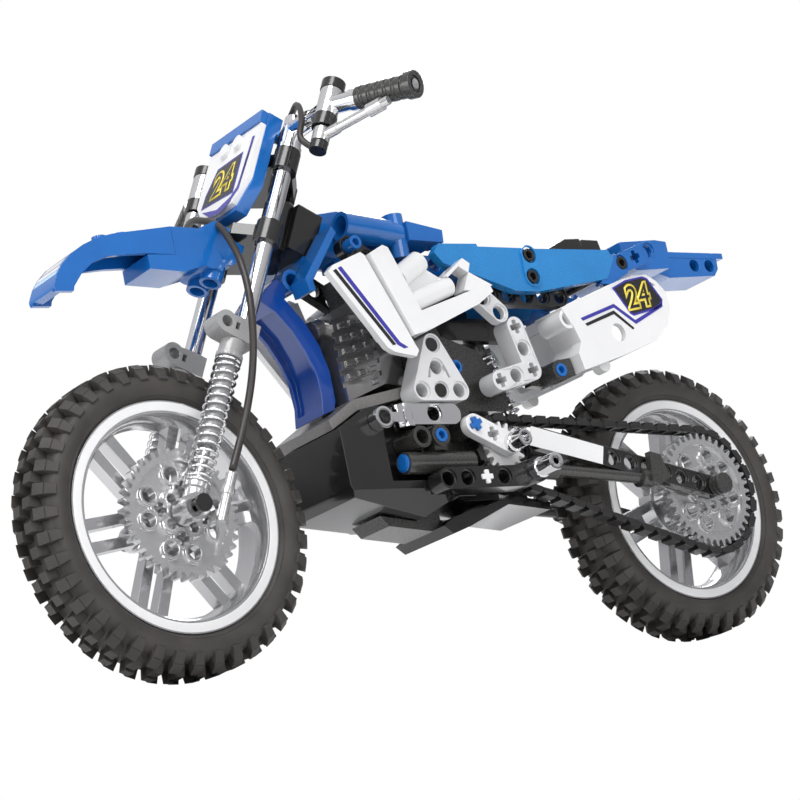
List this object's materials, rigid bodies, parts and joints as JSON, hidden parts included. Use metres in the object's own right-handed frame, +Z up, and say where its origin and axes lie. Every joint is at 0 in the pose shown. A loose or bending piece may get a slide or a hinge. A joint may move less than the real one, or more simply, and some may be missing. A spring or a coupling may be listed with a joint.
{
  "type": "motorcycle model",
  "caption": "Motocross motorcycle model of pinned beams and panels, with steering, sprung fork, swingarm, chain drive, shock and hand levers.",
  "frame": {"origin": "on the ground at the middle of the model's length and width, under the engine", "axes": "+X to the tail, the nose points along -X; +Y to the bike's right side; +Z up"},
  "size_m": [0.3206, 0.1462, 0.1892],
  "materials": {
    "blue_plastic": "moulded gloss",
    "white_plastic": "moulded gloss",
    "black_plastic": "moulded gloss",
    "grey_plastic": "moulded satin",
    "silver_plastic": "metallised gloss",
    "tyre_rubber": "moulded satin",
    "hose_rubber": "satin"
  },
  "bodies": {
    "frame": {"black_pins": "black_plastic", "blue_pins": "blue_plastic", "triangle_arms": "white_plastic", "l_arms": "white_plastic", "sprocket_carrier": "white_plastic", "chrome_beams": "silver_plastic", "lower_beams": "black_plastic", "foot_pegs": "silver_plastic", "pin_connectors": "grey_plastic", "steering_head": "black_plastic", "tank_sides": "blue_plastic", "side_covers": "white_plastic", "shrouds": "white_plastic", "seat_panels": "blue_plastic", "tail_beams": "blue_plastic", "rear_boards": "white_plastic", "mud_guard": "blue_plastic", "tail_plate": "blue_plastic", "tank_top": "blue_plastic", "frame_rails": "black_plastic", "seat_spine": "blue_plastic", "seat_pad": "black_plastic", "skid_plate": "black_plastic", "cylinder_base": "grey_plastic", "cylinder_block": "grey_plastic", "gearbox": "grey_plastic", "crankcase": "black_plastic"},
    "steering": {"fork_tubes": "silver_plastic", "fork_yokes": "black_plastic", "handlebar": "silver_plastic", "fork_cylinders": "silver_plastic", "reservoir_caps_and_posts": "black_plastic", "grips": "black_plastic", "plate_frame": "blue_plastic", "number_plate": "white_plastic", "fender_bracket": "blue_plastic", "front_fender": "blue_plastic", "brake_hose": "hose_rubber"},
    "fork_lower": {"fork_sliders": "silver_plastic", "fork_springs": "silver_plastic"},
    "front_wheel": {"front_axle": "black_plastic", "front_brake_disc": "silver_plastic", "front_rim": "white_plastic", "front_tyre": "tyre_rubber"},
    "swingarm": {"swingarm_axles": "black_plastic", "swingarm_beams": "black_plastic", "swingarm_inner_arms": "black_plastic", "swingarm_braces": "grey_plastic", "chain": "black_plastic"},
    "rear_wheel": {"rear_axle": "grey_plastic", "rear_sprocket": "silver_plastic", "rear_rim": "white_plastic", "rear_tyre": "tyre_rubber"},
    "drive": {"drive_sprocket": "white_plastic", "drive_axle": "grey_plastic"},
    "clutch_lever": {"clutch_lever": "silver_plastic"},
    "brake_lever": {"brake_lever": "silver_plastic"},
    "shock_body": {"rear_shock_cylinder": "grey_plastic"},
    "shock_rod": {"rear_shock_rod": "silver_plastic", "rear_shock_spring": "silver_plastic"}
  },
  "joints": [
    {"name": "steering_turn", "type": "hinge", "parent": "frame", "child": "steering", "pos_m": [-0.05111, 0, 0.13751], "axis": [0.4472, 0, 0.8944], "range_deg": [-28, 28]},
    {"name": "fork_slide", "type": "slide", "parent": "steering", "child": "fork_lower", "axis": [0.4472, 0, 0.8944], "range_m": [0, 0.008], "stiffness_N_per_m": 400, "springref_m": -0.015, "deforming": ["fork_springs", "brake_hose"]},
    {"name": "front_wheel_spin", "type": "hinge", "parent": "fork_lower", "child": "front_wheel", "pos_m": [-0.10925, 0, 0.0503], "axis": [0, 1, 0], "continuous": true},
    {"name": "clutch_lever_pivot", "type": "hinge", "parent": "steering", "child": "clutch_lever", "pos_m": [-0.04901, -0.039, 0.16764], "axis": [0.4472, 0, 0.8944], "range_deg": [0, 12], "stiffness_Nm_per_rad": 0.02, "springref_deg": -11.46},
    {"name": "brake_lever_pivot", "type": "hinge", "parent": "steering", "child": "brake_lever", "pos_m": [-0.04901, 0.039, 0.16764], "axis": [-0.4472, 0, -0.8944], "range_deg": [0, 12], "stiffness_Nm_per_rad": 0.02, "springref_deg": -11.46},
    {"name": "swingarm_pivot", "type": "hinge", "parent": "frame", "child": "swingarm", "pos_m": [0.01875, 0, 0.0674], "axis": [0, -1, 0], "range_deg": [0, 8], "stiffness_Nm_per_rad": 0.8, "springref_deg": -28.65},
    {"name": "rear_wheel_spin", "type": "hinge", "parent": "swingarm", "child": "rear_wheel", "pos_m": [0.11075, 0, 0.0503], "axis": [0, 1, 0], "continuous": true},
    {"name": "sprocket_spin", "type": "hinge", "parent": "frame", "child": "drive", "pos_m": [0.01875, 0, 0.0674], "axis": [0, 1, 0], "continuous": true},
    {"name": "shock_swing", "type": "hinge", "parent": "frame", "child": "shock_body", "pos_m": [0.03175, 0, 0.113], "axis": [0, -1, 0], "range_deg": [0, 1.8]},
    {"name": "shock_slide", "type": "slide", "parent": "shock_body", "child": "shock_rod", "axis": [-0.3327, 0, 0.943], "range_m": [0, 0.004], "deforming": ["rear_shock_spring"]}
  ],
  "couplings": [
    {"joint": "sprocket_spin", "follows": "rear_wheel_spin", "ratio": 2.5},
    {"joint": "shock_swing", "follows": "swingarm_pivot", "ratio": 0.216},
    {"joint": "shock_slide", "follows": "swingarm_pivot", "m_per_rad": 0.02793}
  ]
}
